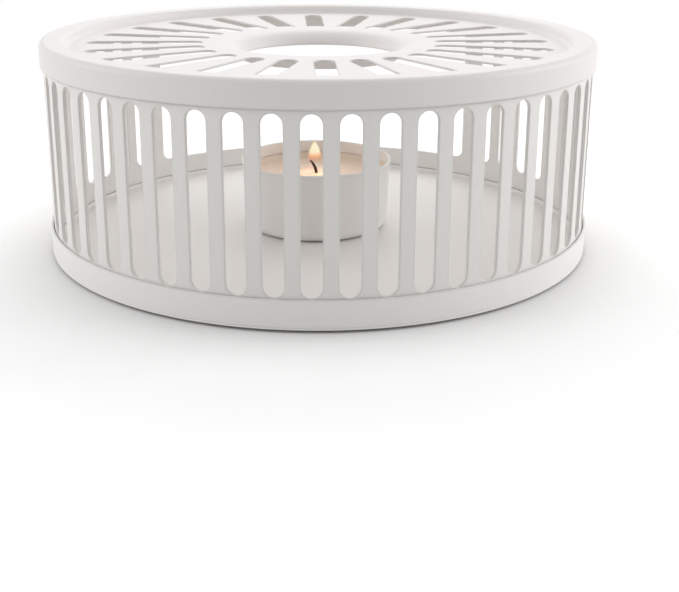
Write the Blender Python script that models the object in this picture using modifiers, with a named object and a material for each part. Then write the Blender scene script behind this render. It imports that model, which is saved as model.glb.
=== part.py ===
"""A teapot warmer in white powder-coated sheet steel, with its tealight.

The drum is a tray with an upturned rim, a rolled wall of upright slots that stands in the tray, and a
pressed lid whose skirt closes over the wall. The lid has a raised rim round a sunk plate with radial slots
and a flared centre hole. A wide window at the back of the wall lets the tealight in and out.

X runs to the right, Y to the back, where the window is, and Z up. The origin is at the middle of the drum,
on the surface that the feet stand on. All lengths are in metres, written as millimetres times MM.
"""

import math

import bmesh
import bpy
from mathutils import Matrix, Vector

MM = 0.001

# Drum
DRUM_RADIUS = 67.5 * MM
DRUM_HEIGHT = 51.9 * MM
PRESSED_SHEET = 0.5 * MM
NEST_GAP = 0.2 * MM
DRUM_SEGMENTS = 72

# Lid
SKIRT_HEIGHT = 6.7 * MM
RIM_BEND = 1.9 * MM
RIM_CREST = 1.0 * MM
PLATE_RECESS = 3.1 * MM
HOLE_RADIUS = 19.4 * MM
MOUTH_BEND = 4.7 * MM
MOUTH_TURN = math.radians(75.0)
TOP_SLOTS = 24
TOP_SLOT_WIDTH = 4.8 * MM
TOP_SLOT_INNER_LAND = 4.9 * MM
TOP_SLOT_OUTER_LAND = 4.1 * MM

# Wall
WALL_SHEET = 0.8 * MM
WALL_PITCHES = 54
WALL_SLOT_WIDTH = 4.4 * MM
WALL_SLOT_HEAD_LAND = 0.9 * MM
WALL_SLOT_FOOT_LAND = 0.1 * MM
WINDOW_ANGLE = math.radians(85.0)
WINDOW_POST_ANGLE = math.radians(7.0)
WINDOW_CORNER = 2.0 * MM

# Tray
TRAY_RIM_HEIGHT = 6.5 * MM
TRAY_BEND = 0.7 * MM

# Feet
FOOT_COUNT = 4
FOOT_RADIUS = 4.0 * MM
FOOT_THICKNESS = 0.4 * MM
FOOT_INSET = 15.5 * MM
FOOT_EDGE_BEVEL = 0.12 * MM

# Tealight
TEALIGHT_BEHIND_CENTRE = 4.5 * MM
TEALIGHT_LEFT_OF_CENTRE = 0.7 * MM
CUP_RADIUS = 19.5 * MM
CUP_HEIGHT = 17.5 * MM
CUP_SHEET = 0.3 * MM
CUP_TAPER = 0.5 * MM
CUP_BEND = 2.0 * MM
CUP_LIP_RADIUS = 0.35 * MM
WAX_BELOW_LIP = 3.0 * MM
MELT_POOL_DEPTH = 1.5 * MM
WICK_RADIUS = 0.4 * MM
WICK_ABOVE_POOL = 3.6 * MM
WICK_LEAN = 1.5 * MM
HOLDER_RADIUS = 6.0 * MM
HOLDER_SHEET = 0.3 * MM
HOLDER_NECK_HEIGHT = 3.0 * MM

# Facets
BEND_STEPS = 4
RIM_STEP_STEPS = 3
MOUTH_STEPS = 6
SLOT_END_STEPS = 5
CORNER_STEPS = 4
FOOT_SEGMENTS = 16
CUP_SEGMENTS = 40
CUP_BEND_STEPS = 3
CUP_LIP_STEPS = 6
WICK_STEPS = 8
HOLDER_SEGMENTS = 24

# Modelling aids
CUTTER_SHEETS = 6
TURN_MERGE = 0.01 * MM
WELD = 0.001 * MM

# Heights that follow from the sizes above
TRAY_UNDERSIDE = FOOT_THICKNESS + NEST_GAP
TRAY_FLOOR = TRAY_UNDERSIDE + PRESSED_SHEET
TRAY_RIM_TOP = TRAY_UNDERSIDE + TRAY_RIM_HEIGHT
LID_CREST = TRAY_UNDERSIDE + DRUM_HEIGHT
LID_PLATE = LID_CREST - PLATE_RECESS
SKIRT_EDGE = LID_CREST - SKIRT_HEIGHT

# Radii that follow from the sizes above
MOUTH_RADIUS = HOLE_RADIUS + MOUTH_BEND * math.sin(MOUTH_TURN)
RIM_STEP_BEND = PLATE_RECESS / 2
PLATE_RADIUS = DRUM_RADIUS - RIM_BEND - RIM_CREST - PLATE_RECESS
WALL_OUTER_RADIUS = DRUM_RADIUS - PRESSED_SHEET - NEST_GAP
WALL_INNER_RADIUS = WALL_OUTER_RADIUS - WALL_SHEET
FOOT_CIRCLE_RADIUS = DRUM_RADIUS - FOOT_INSET
CUP_SIDE_TOP_RADIUS = CUP_RADIUS - CUP_LIP_RADIUS
CUP_SIDE_FOOT_RADIUS = CUP_SIDE_TOP_RADIUS - CUP_TAPER

COATING_WHITE = (0.87, 0.85, 0.83, 1.0)
SILICONE_CLEAR = (0.72, 0.72, 0.70, 1.0)
CUP_WHITE = (0.86, 0.84, 0.82, 1.0)
WAX_IVORY = (0.85, 0.73, 0.62, 1.0)
WICK_BLACK = (0.02, 0.014, 0.01, 1.0)
TIN_GREY = (0.55, 0.55, 0.56, 1.0)


def clear_scene():
    for item in list(bpy.data.objects):
        bpy.data.objects.remove(item, do_unlink=True)


def new_collection(name, parent=None):
    collection = bpy.data.collections.new(name)
    (parent or bpy.context.scene.collection).children.link(collection)
    return collection


def new_material(name, colour, roughness, metallic=0.0):
    material = bpy.data.materials.new(name)
    material.use_nodes = True
    shader = material.node_tree.nodes["Principled BSDF"]
    shader.inputs["Base Color"].default_value = colour
    shader.inputs["Roughness"].default_value = roughness
    shader.inputs["Metallic"].default_value = metallic
    return material


def arc(centre, radius, start, end, steps):
    """Points of an arc of a profile, at angles in degrees that run from outwards to upwards."""
    points = []
    for step in range(steps + 1):
        angle = math.radians(start + (end - start) * step / steps)
        points.append((centre[0] + radius * math.cos(angle), centre[1] + radius * math.sin(angle)))
    return points


def add_screw(item, segments):
    screw = item.modifiers.new("Turn", "SCREW")
    screw.steps = segments
    screw.render_steps = segments
    screw.use_smooth_shade = True
    screw.use_merge_vertices = True
    screw.merge_threshold = TURN_MERGE
    return screw


def turned(name, profile, closed, segments, material, collection):
    """An object whose profile of radii and heights is turned round the Z axis."""
    count = len(profile)
    edges = [(i, i + 1) for i in range(count - 1)]
    if closed:
        edges.append((count - 1, 0))
    mesh = bpy.data.meshes.new(name)
    mesh.from_pydata([(radius, 0.0, height) for radius, height in profile], edges, [])
    mesh.materials.append(material)
    item = bpy.data.objects.new(name, mesh)
    collection.objects.link(item)
    add_screw(item, segments)
    return item


def add_sheet_thickness(item, thickness):
    solidify = item.modifiers.new("Sheet", "SOLIDIFY")
    solidify.thickness = thickness
    solidify.offset = -1.0
    solidify.use_even_offset = True
    return solidify


def add_cuts(item, cutters):
    cut = item.modifiers.new("Cut", "BOOLEAN")
    cut.operation = "DIFFERENCE"
    cut.solver = "EXACT"
    cut.operand_type = "COLLECTION"
    cut.collection = cutters
    return cut


def obround_outline(length, width):
    """A slot's outline, its long side along X."""
    radius = width / 2
    reach = length / 2 - radius
    right_end = arc((reach, 0.0), radius, -90, 90, SLOT_END_STEPS)
    return right_end + arc((-reach, 0.0), radius, 90, 270, SLOT_END_STEPS)


def rounded_box_outline(length, width, corner):
    across = length / 2 - corner
    along = width / 2 - corner
    outline = []
    for quarter, (x, y) in enumerate(((across, along), (-across, along), (-across, -along), (across, -along))):
        outline += arc((x, y), corner, 90 * quarter, 90 * quarter + 90, CORNER_STEPS)
    return outline


def mesh_from_curve(name, curve):
    """The welded mesh of a curve, which takes modifiers and Booleans as the curve can't."""
    guide = bpy.data.objects.new(name, curve)
    bpy.context.scene.collection.objects.link(guide)
    bpy.context.view_layer.update()
    evaluated = guide.evaluated_get(bpy.context.evaluated_depsgraph_get())
    mesh = bpy.data.meshes.new_from_object(evaluated)
    bpy.data.objects.remove(guide, do_unlink=True)
    mesh.name = name
    form = bmesh.new()
    form.from_mesh(mesh)
    bmesh.ops.remove_doubles(form, verts=form.verts, dist=WELD)
    bmesh.ops.recalc_face_normals(form, faces=form.faces)
    form.to_mesh(mesh)
    form.free()
    return mesh


def prism_mesh(name, outline, depth):
    """A flat outline in X and Y made a prism along Z."""
    curve = bpy.data.curves.new(name, "CURVE")
    curve.dimensions = "2D"
    curve.fill_mode = "BOTH"
    curve.extrude = depth / 2
    spline = curve.splines.new("POLY")
    spline.points.add(len(outline) - 1)
    for point, (x, y) in zip(spline.points, outline):
        point.co = (x, y, 0.0, 1.0)
    spline.use_cyclic_u = True
    return mesh_from_curve(name, curve)


def place_cutter(name, mesh, matrix, collection):
    cutter = bpy.data.objects.new(name, mesh)
    cutter.matrix_world = matrix
    cutter.hide_render = True
    cutter.display_type = "WIRE"
    collection.objects.link(cutter)
    return cutter


def outward(angle):
    """The direction at an angle from the front, counted towards the right."""
    return Vector((math.sin(angle), -math.cos(angle), 0.0))


def frame_matrix(origin, x_axis, z_axis):
    """Carries X and Z to the axes given, at an origin."""
    y_axis = z_axis.cross(x_axis)
    turn = Matrix((x_axis, y_axis, z_axis)).transposed().to_4x4()
    return Matrix.Translation(origin) @ turn


def cut_top_slots(cutters):
    inner = MOUTH_RADIUS + TOP_SLOT_INNER_LAND
    outer = PLATE_RADIUS - TOP_SLOT_OUTER_LAND
    mesh = prism_mesh("top_slot", obround_outline(outer - inner, TOP_SLOT_WIDTH), CUTTER_SHEETS * PRESSED_SHEET)
    for index in range(TOP_SLOTS):
        direction = outward(math.tau * index / TOP_SLOTS)
        origin = direction * (inner + outer) / 2 + Vector((0.0, 0.0, LID_PLATE))
        matrix = frame_matrix(origin, direction, Vector((0.0, 0.0, 1.0)))
        place_cutter(f"cut_top_slot_{index + 1}", mesh, matrix, cutters)


def make_lid(material, parts, cutters):
    """The pressed lid: flared mouth, slotted plate, raised rim and skirt, in one sheet."""
    mouth_start = 90 + math.degrees(MOUTH_TURN)
    mouth = arc((MOUTH_RADIUS, LID_PLATE - MOUTH_BEND), MOUTH_BEND, mouth_start, 90, MOUTH_STEPS)
    step_foot = arc((PLATE_RADIUS, LID_PLATE + RIM_STEP_BEND), RIM_STEP_BEND, -90, 0, RIM_STEP_STEPS)
    crest_start = PLATE_RADIUS + PLATE_RECESS
    step_head = arc((crest_start, LID_CREST - RIM_STEP_BEND), RIM_STEP_BEND, 180, 90, RIM_STEP_STEPS)[1:]
    shoulder = arc((DRUM_RADIUS - RIM_BEND, LID_CREST - RIM_BEND), RIM_BEND, 90, 0, BEND_STEPS)
    skirt = [(DRUM_RADIUS, SKIRT_EDGE)]
    path = mouth + step_foot + step_head + shoulder + skirt
    lid = turned("lid", path, False, DRUM_SEGMENTS, material, parts)
    add_sheet_thickness(lid, PRESSED_SHEET)
    cut_top_slots(cutters)
    add_cuts(lid, cutters)
    return lid


def lid_inside_height(radius):
    """The height of the underside of the rim's outer bend."""
    bend = RIM_BEND - PRESSED_SHEET
    offset = radius - (DRUM_RADIUS - RIM_BEND)
    return LID_CREST - RIM_BEND + math.sqrt(bend**2 - offset**2)


def cut_wall_slots(cutters):
    head = SKIRT_EDGE - WALL_SLOT_HEAD_LAND
    foot = TRAY_RIM_TOP + WALL_SLOT_FOOT_LAND
    mesh = prism_mesh("wall_slot", obround_outline(head - foot, WALL_SLOT_WIDTH), CUTTER_SHEETS * WALL_SHEET)
    pitch = math.tau / WALL_PITCHES
    room = math.pi - WINDOW_ANGLE / 2 - WINDOW_POST_ANGLE - pitch / 2
    for index in range(int(room / pitch) + 1):
        for side, word in ((-1, "left"), (1, "right")):
            direction = outward(side * pitch * (index + 0.5))
            origin = direction * WALL_OUTER_RADIUS + Vector((0.0, 0.0, (head + foot) / 2))
            matrix = frame_matrix(origin, Vector((0.0, 0.0, 1.0)), direction)
            place_cutter(f"cut_wall_slot_{word}_{index + 1}", mesh, matrix, cutters)
    return foot, head


def cut_window(foot, head, cutters):
    width = 2 * WALL_OUTER_RADIUS * math.sin(WINDOW_ANGLE / 2)
    outline = rounded_box_outline(width, head - foot, WINDOW_CORNER)
    mesh = prism_mesh("window", outline, WALL_OUTER_RADIUS)
    origin = Vector((0.0, WALL_OUTER_RADIUS, (head + foot) / 2))
    matrix = frame_matrix(origin, Vector((1.0, 0.0, 0.0)), Vector((0.0, -1.0, 0.0)))
    place_cutter("cut_window", mesh, matrix, cutters)


def make_wall(material, parts, cutters):
    """The rolled wall: a thin ring with upright slots and the window at the back."""
    top = lid_inside_height(WALL_OUTER_RADIUS) - NEST_GAP
    bottom = TRAY_FLOOR + TRAY_BEND
    profile = [
        (WALL_INNER_RADIUS, top),
        (WALL_OUTER_RADIUS, top),
        (WALL_OUTER_RADIUS, bottom),
        (WALL_INNER_RADIUS, bottom),
    ]
    wall = turned("slotted_wall", profile, True, DRUM_SEGMENTS, material, parts)
    foot, head = cut_wall_slots(cutters)
    cut_window(foot, head, cutters)
    add_cuts(wall, cutters)
    return wall


def make_tray(material, parts):
    """The pressed tray, whose upturned rim holds the foot of the wall."""
    corner = (DRUM_RADIUS - PRESSED_SHEET - TRAY_BEND, TRAY_FLOOR + TRAY_BEND)
    path = [(DRUM_RADIUS - PRESSED_SHEET, TRAY_RIM_TOP)]
    path += arc(corner, TRAY_BEND, 0, -90, BEND_STEPS)
    path.append((0.0, TRAY_FLOOR))
    tray = turned("base_tray", path, False, DRUM_SEGMENTS, material, parts)
    thickness = add_sheet_thickness(tray, PRESSED_SHEET)
    thickness.offset = 1.0
    return tray


def make_feet(material, parts):
    """Four thin soft pads under the tray."""
    for index in range(FOOT_COUNT):
        bpy.ops.mesh.primitive_cylinder_add(vertices=FOOT_SEGMENTS, radius=FOOT_RADIUS, depth=FOOT_THICKNESS)
        foot = bpy.context.object
        foot.name = f"foot_{index + 1}"
        foot.data.name = foot.name
        direction = outward(math.tau * (index + 0.5) / FOOT_COUNT)
        foot.location = direction * FOOT_CIRCLE_RADIUS + Vector((0.0, 0.0, FOOT_THICKNESS / 2))
        foot.data.materials.append(material)
        bevel = foot.modifiers.new("Edge", "BEVEL")
        bevel.width = FOOT_EDGE_BEVEL
        bevel.segments = 1
        bevel.limit_method = "ANGLE"
        for holder in list(foot.users_collection):
            holder.objects.unlink(foot)
        parts.objects.link(foot)


def cup_side_radius(height):
    """The outer radius of the cup's side at a height over the cup's underside."""
    share = (height - CUP_BEND) / (CUP_HEIGHT - CUP_BEND)
    return CUP_SIDE_FOOT_RADIUS + CUP_TAPER * max(share, 0.0)


def make_cup(material, parts):
    """The thin cup, slightly narrower at its foot, with a small rolled lip."""
    corner = (CUP_SIDE_FOOT_RADIUS - CUP_BEND, CUP_BEND)
    lip = (CUP_SIDE_TOP_RADIUS, CUP_HEIGHT - CUP_LIP_RADIUS)
    profile = [(0.0, CUP_SHEET)]
    profile += arc(corner, CUP_BEND - CUP_SHEET, -90, 0, CUP_BEND_STEPS)
    profile += arc(lip, CUP_LIP_RADIUS, 180, -90, CUP_LIP_STEPS)
    profile += arc(corner, CUP_BEND, 0, -90, CUP_BEND_STEPS)
    profile.append((0.0, 0.0))
    return turned("tealight_cup", profile, False, CUP_SEGMENTS, material, parts)


def make_wick_holder(material, parts):
    """The tin disc and neck that hold the wick's foot on the cup's floor."""
    bore = WICK_RADIUS + NEST_GAP
    neck = bore + HOLDER_SHEET
    floor = CUP_SHEET + NEST_GAP
    profile = [
        (bore, floor + HOLDER_NECK_HEIGHT),
        (neck, floor + HOLDER_NECK_HEIGHT),
        (neck, floor + HOLDER_SHEET),
        (HOLDER_RADIUS, floor + HOLDER_SHEET),
        (HOLDER_RADIUS, floor),
        (bore, floor),
    ]
    return turned("wick_holder", profile, True, HOLDER_SEGMENTS, material, parts)


def wax_top():
    return CUP_HEIGHT - WAX_BELOW_LIP


def pool_height():
    return wax_top() - MELT_POOL_DEPTH


def make_wax(material, parts):
    """The wax with its melt pool, hollow under its middle for the wick and its holder."""
    bore = WICK_RADIUS + NEST_GAP
    neck = bore + HOLDER_SHEET + NEST_GAP
    holder_top = CUP_SHEET + NEST_GAP + HOLDER_SHEET + NEST_GAP
    neck_top = CUP_SHEET + NEST_GAP + HOLDER_NECK_HEIGHT + NEST_GAP
    floor = CUP_SHEET + NEST_GAP
    bend = CUP_BEND - CUP_SHEET
    corner = (CUP_SIDE_FOOT_RADIUS - CUP_SHEET - NEST_GAP - bend, floor + bend)
    edge = cup_side_radius(pool_height()) - CUP_SHEET - NEST_GAP
    meniscus = (edge - MELT_POOL_DEPTH, wax_top())
    profile = [(bore, pool_height())]
    profile += arc(meniscus, MELT_POOL_DEPTH, -90, 0, CUP_BEND_STEPS)
    profile += arc(corner, bend, 0, -90, CUP_BEND_STEPS)
    profile += [
        (HOLDER_RADIUS + NEST_GAP, floor),
        (HOLDER_RADIUS + NEST_GAP, holder_top),
        (neck, holder_top),
        (neck, neck_top),
        (bore, neck_top),
    ]
    return turned("tealight_wax", profile, True, CUP_SEGMENTS, material, parts)


def make_wick(material, parts):
    """The wick, straight in the wax and bent over to the left where it burns."""
    foot = CUP_SHEET + 2 * NEST_GAP
    pool = pool_height()
    tip = pool + WICK_ABOVE_POOL
    curve = bpy.data.curves.new("tealight_wick", "CURVE")
    curve.dimensions = "3D"
    curve.bevel_depth = WICK_RADIUS
    curve.bevel_resolution = 2
    curve.use_fill_caps = True
    spline = curve.splines.new("POLY")
    spline.points.add(WICK_STEPS + 1)
    spline.points[0].co = (0.0, 0.0, foot, 1.0)
    for step in range(WICK_STEPS + 1):
        share = step / WICK_STEPS
        lean = -WICK_LEAN * share**2
        spline.points[step + 1].co = (lean, 0.0, pool + (tip - pool) * share, 1.0)
    curve.materials.append(material)
    wick = bpy.data.objects.new("tealight_wick", mesh_from_curve("tealight_wick", curve))
    parts.objects.link(wick)
    return wick


def make_tealight(cup_finish, wax_finish, wick_finish, tin_finish, parts):
    """The loose tealight, standing on the tray's floor under the centre hole, as a hand left it."""
    stand = bpy.data.objects.new("tealight", None)
    stand.location = (-TEALIGHT_LEFT_OF_CENTRE, TEALIGHT_BEHIND_CENTRE, TRAY_FLOOR + NEST_GAP)
    parts.objects.link(stand)
    pieces = [
        make_cup(cup_finish, parts),
        make_wick_holder(tin_finish, parts),
        make_wax(wax_finish, parts),
        make_wick(wick_finish, parts),
    ]
    for piece in pieces:
        piece.parent = stand


def main():
    clear_scene()
    parts = new_collection("teapot_warmer")
    cutters = new_collection("cutters")
    coating = new_material("white_coating", COATING_WHITE, roughness=0.45)
    lid_coating = new_material("white_coating_lid", COATING_WHITE, roughness=0.42)
    tray_coating = new_material("white_coating_tray", COATING_WHITE, roughness=0.45)
    silicone = new_material("clear_silicone", SILICONE_CLEAR, roughness=0.5)
    cup_finish = new_material("white_cup", CUP_WHITE, roughness=0.4)
    wax_finish = new_material("ivory_wax", WAX_IVORY, roughness=0.35)
    wick_finish = new_material("burnt_wick", WICK_BLACK, roughness=0.9)
    tin_finish = new_material("tin_plate", TIN_GREY, roughness=0.4, metallic=1.0)
    make_lid(lid_coating, parts, new_collection("top_slot_cutters", cutters))
    make_wall(coating, parts, new_collection("wall_cutters", cutters))
    make_tray(tray_coating, parts)
    make_feet(silicone, parts)
    make_tealight(cup_finish, wax_finish, wick_finish, tin_finish, parts)


main()
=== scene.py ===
"""A teapot warmer in white powder-coated sheet steel, with its burning tealight.

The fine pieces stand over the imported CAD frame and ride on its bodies. Each operator makes one piece, or one
group of like pieces, with its finish, and the last one the studio with the camera. X runs to the right, Y to
the back, where the warmer's window is, and Z up, all in metres. Heights are over the table.
"""

import math

import bmesh
import bpy
from bpy.props import FloatProperty, FloatVectorProperty, IntProperty, PointerProperty
from bpy.types import Operator, Panel, PropertyGroup
from bpy.utils import register_class, unregister_class
from mathutils import Matrix, Vector
from mathutils import noise as random_field


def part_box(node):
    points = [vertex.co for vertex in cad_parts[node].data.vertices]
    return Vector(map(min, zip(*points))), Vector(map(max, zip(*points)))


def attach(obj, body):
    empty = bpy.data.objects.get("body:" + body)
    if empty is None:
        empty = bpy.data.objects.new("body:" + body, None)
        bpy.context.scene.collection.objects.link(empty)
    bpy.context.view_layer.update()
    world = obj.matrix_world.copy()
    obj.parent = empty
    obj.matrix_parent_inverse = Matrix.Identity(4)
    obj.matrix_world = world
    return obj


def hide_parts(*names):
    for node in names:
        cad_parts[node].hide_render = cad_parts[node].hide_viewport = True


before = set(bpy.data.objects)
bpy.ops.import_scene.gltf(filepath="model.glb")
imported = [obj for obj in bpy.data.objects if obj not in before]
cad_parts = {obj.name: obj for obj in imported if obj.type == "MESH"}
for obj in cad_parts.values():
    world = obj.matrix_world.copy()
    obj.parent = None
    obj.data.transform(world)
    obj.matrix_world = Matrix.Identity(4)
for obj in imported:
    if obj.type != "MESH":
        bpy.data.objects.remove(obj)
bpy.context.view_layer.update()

bl_info = {
    "name": "Teapot Warmer",
    "version": (1, 0, 0),
    "blender": (4, 5, 0),
    "location": "3D View > Sidebar > Teapot Warmer",
    "description": "Makes a slotted teapot warmer and its tealight over their CAD frame, with a studio",
    "category": "Add Mesh",
}

MM = 0.001
WELD = 0.001 * MM
WHITE = (1.0, 1.0, 1.0, 1.0)

PHOTO_WIDTH, PHOTO_HEIGHT = 679, 592
SENSOR_WIDTH = 36.0
FLOOR_REACH = 3.0

LID_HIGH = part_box("lid")[1]
WALL_LOW, WALL_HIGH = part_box("slotted_wall")
TRAY_LOW, TRAY_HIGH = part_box("base_tray")
CUP_LOW, CUP_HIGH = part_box("tealight_cup")
CUP_MIDDLE = (CUP_LOW + CUP_HIGH) / 2

# The photograph shows the lid's crest a little lower than the CAD has it
CREST_DROP = 0.8 * MM


def real(name, text, value, **rest):
    return FloatProperty(name=name, description=text, default=value, **rest)


def length(name, text, metres):
    return real(name, text, metres, min=0.0, unit="LENGTH", subtype="DISTANCE", precision=5)


def offset(name, text, metres):
    return real(name, text, metres, unit="LENGTH", precision=5)


def turn(name, text, radians):
    return real(name, text, radians, unit="ROTATION", subtype="ANGLE")


def share(name, text, value):
    return real(name, text, value, min=0.0, max=1.0, subtype="FACTOR")


def power(name, text, watts):
    return real(name, text, watts, min=0.0, unit="POWER")


def count(name, text, value):
    return IntProperty(name=name, description=text, default=value, min=1)


def colour(name, text, value):
    return FloatVectorProperty(
        name=name, description=text, default=value, size=3, min=0.0, max=1.0, subtype="COLOR"
    )


class LidSizes(PropertyGroup):
    radius: length("Radius", "Outer radius of the skirt", LID_HIGH.x)
    crest: length("Crest height", "Height of the raised rim", LID_HIGH.z - CREST_DROP)
    skirt_edge: length("Skirt edge", "Height of the skirt's lower edge", LID_HIGH.z - 6.7 * MM)
    sheet: length("Sheet", "Thickness of the pressed sheet", 0.5 * MM)
    rim_bend: length("Rim bend", "Outer radius of the bend from the rim to the skirt", 1.4 * MM)
    rim_crest: length("Rim crest", "Width of the flat crest of the rim", 3.3 * MM)
    recess: length("Recess", "Depth of the plate under the crest", 2.3 * MM)
    hole_radius: length("Hole", "Radius of the centre hole", 19.4 * MM)
    mouth_bend: length("Mouth bend", "Radius of the flared mouth's bend", 4.7 * MM)
    mouth_turn: turn("Mouth turn", "How far the mouth turns down", math.radians(75.0))
    slots: count("Slots", "Number of radial slots", 24)
    slot_width: length("Slot width", "Width of a radial slot", 4.8 * MM)
    slot_start: length("Slot start", "Distance of the slots' inner ends from the middle", 28.84 * MM)
    slot_end: length("Slot end", "Distance of the slots' outer ends from the middle", 57.4 * MM)
    edge: length("Edge", "Rounding of the coated edges", 0.16 * MM)


class WallSizes(PropertyGroup):
    radius: length("Radius", "Outer radius of the wall", 66.8 * MM)
    sheet: length("Sheet", "Thickness of the wall", 0.8 * MM)
    bottom: length("Bottom", "Height of the wall's foot", WALL_LOW.z)
    top: length("Top", "Height of the wall's head", WALL_HIGH.z - CREST_DROP)
    pitches: count("Pitches", "Number of slot pitches in a full turn", 54)
    slot_pairs: count("Slot pairs", "Number of slots on either side of the front", 20)
    slot_width: length("Slot width", "Width of an upright slot", 4.4 * MM)
    slot_foot: length("Slot foot", "Height of the slots' lower ends", 7.2 * MM)
    slot_head: length("Slot head", "Height of the slots' upper ends", 44.9 * MM)
    window_half_width: length("Window half width", "Half the width of the window", 45.13 * MM)
    window_corner: length("Window corner", "Radius of the window's corners", 2.0 * MM)
    edge: length("Edge", "Rounding of the coated edges", 0.18 * MM)


class TraySizes(PropertyGroup):
    radius: length("Radius", "Outer radius of the tray", TRAY_HIGH.x)
    underside: length("Underside", "Height of the underside", TRAY_LOW.z)
    rim_top: length("Rim top", "Height of the upturned rim", TRAY_HIGH.z)
    sheet: length("Sheet", "Thickness of the pressed sheet", 0.5 * MM)
    bend: length("Bend", "Inner radius of the bend to the rim", 0.7 * MM)
    wall_inside: length("Wall inside", "Inner radius of the wall in the tray", 65.95 * MM)
    wall_slope: length("Wall slope", "How far the fillet's back leans under the wall", 0.15 * MM)
    fillet: length("Fillet", "Radius of the coating's fillet at the foot of the wall", 1.0 * MM)
    seam_height: length("Seam height", "Height of the fine seam over the underside", 0.42 * MM)
    seam_width: length("Seam width", "Width of the fine seam", 0.2 * MM)
    seam_depth: length("Seam depth", "Depth of the fine seam", 0.14 * MM)
    edge: length("Edge", "Rounding of the coated edges", 0.14 * MM)


class PadSizes(PropertyGroup):
    number: count("Pads", "Number of pads under the tray", 4)
    radius: length("Radius", "Radius of a pad", 4.0 * MM)
    thickness: length("Thickness", "Thickness of a pad", 0.4 * MM)
    circle: length("Circle", "Distance of the pads from the middle", 52.0 * MM)
    edge: length("Edge", "Rounding of a pad's edges", 0.14 * MM)


class TealightSizes(PropertyGroup):
    cup_radius: length("Cup radius", "Outer radius of the cup's lip", 19.5 * MM)
    cup_height: length("Cup height", "Height of the cup", 17.5 * MM)
    cup_sheet: length("Cup sheet", "Thickness of the cup's sheet", 0.3 * MM)
    cup_taper: length("Cup taper", "How much the cup's foot is narrower than its head", 0.5 * MM)
    cup_bend: length("Cup bend", "Outer radius of the bend at the cup's foot", 2.0 * MM)
    lip_radius: length("Lip", "Radius of the rolled lip", 0.35 * MM)
    wax_gap: length("Wax gap", "Gap between the wax and the cup", 0.2 * MM)
    wax_depth: length("Wax level", "Depth of the wax's edge under the lip", 3.0 * MM)
    pool_depth: length("Pool depth", "Depth of the melt pool under the wax's edge", 1.5 * MM)
    wick_radius: length("Wick", "Radius of the wick", 0.4 * MM)
    wick_foot: length("Wick foot", "Height of the wick's foot over the cup's floor", 0.4 * MM)
    wick_rise: length("Wick rise", "Height of the wick over the pool", 3.6 * MM)
    wick_lean: length("Wick lean", "How far the wick's tip leans to the left", 1.5 * MM)
    flame_foot: length("Flame foot", "Height of the flame's foot over the pool", 3.3 * MM)
    flame_height: length("Flame height", "Height of the flame", 5.6 * MM)
    flame_radius: length("Flame radius", "Largest radius of the flame", 1.75 * MM)
    flame_lean: length("Flame lean", "How far the flame stands left of the wick's foot", 0.4 * MM)


class Finishes(PropertyGroup):
    coating: colour("Coating", "Colour of the wall's powder coating", (0.86, 0.837, 0.813))
    # The lid's darker coating is partly its own pinker tint and partly painted shade; the tray's whiter
    # coating is partly its own tone and partly painted light
    lid_tone_and_shade: colour("Lid coating", "Colour of the lid's powder coating", (0.83, 0.80, 0.785))
    tray_tone_and_light: colour("Tray coating", "Colour of the tray's powder coating", (0.915, 0.892, 0.87))
    roughness: share("Roughness", "Roughness of the satin powder coating", 0.45)
    silicone: colour("Silicone", "Colour of the pads", (0.72, 0.72, 0.70))
    cup: colour("Cup", "Colour of the cup's lacquer", (0.90, 0.88, 0.86))
    wax: colour("Wax", "Colour of the wax", (0.85, 0.73, 0.62))
    wick: colour("Wick", "Colour of the charred wick", (0.02, 0.014, 0.01))
    tin: colour("Tin", "Colour of the wick holder", (0.55, 0.55, 0.56))
    flame_core: colour("Flame core", "Colour of the flame's bright core", (1.0, 0.94, 0.74))
    flame_top: colour("Flame top", "Colour of the flame's upper part", (1.0, 0.84, 0.52))
    flame_foot: colour("Flame foot", "Colour of the flame's foot", (0.95, 0.42, 0.22))


class Studio(PropertyGroup):
    floor: colour("Floor", "Colour of the floor as it lights the warmer", (0.82, 0.82, 0.82))
    floor_gain: real("Floor gain", "How bright the floor shows near the warmer", 1.14, min=0.0)
    floor_near: length("Floor near", "Distance at which the floor starts to turn plain white", 110.0 * MM)
    floor_far: length("Floor far", "Distance at which the floor is plain white", 280.0 * MM)
    # The contact shadow is painted on the floor by occlusion
    contact_reach: length("Contact reach", "How far the contact shadow reaches from the tray", 22.0 * MM)
    contact_shade: share("Contact shade", "How dark the contact shadow is", 0.55)
    room_light: real("Room light", "Strength of a full share", 1.45, min=0.0)
    room_front: share("Room front", "Light from the front", 0.0)
    room_back: share("Room back", "Light from the back", 0.46)
    room_left: share("Room left", "Light from the left", 0.66)
    room_right: share("Room right", "Light from the right", 0.66)
    room_above: share("Room above", "Light from above", 0.15)
    back_lamp: power("Back lamp", "Power of the soft lamp behind the warmer", 0.86)
    right_lamp: power("Right lamp", "Power of the soft lamp on the right", 1.38)
    left_lamp: power("Left lamp", "Power of the soft lamp on the left", 0.9)
    flame_lamp: power("Flame lamp", "Power of the flame's own light", 0.0035)
    focal_length: real("Focal length", "Focal length of the camera, in millimetres", 57.10, min=1.0)
    eye_row: count("Eye row", "Row of the photograph that the lens looks at", 205)
    eye_right: offset("Camera X", "Place of the camera to the right", -9.36 * MM)
    eye_back: offset("Camera Y", "Place of the camera to the back", -268.35 * MM)
    eye_up: offset("Camera Z", "Height of the camera", 87.09 * MM)
    heading: turn("Heading", "How far the camera looks to the right of straight ahead", 0.0542)
    pitch: turn("Pitch", "How far the camera looks down", 0.2898)
    roll: turn("Roll", "How far the camera tips to its right", -0.0050)


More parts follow.
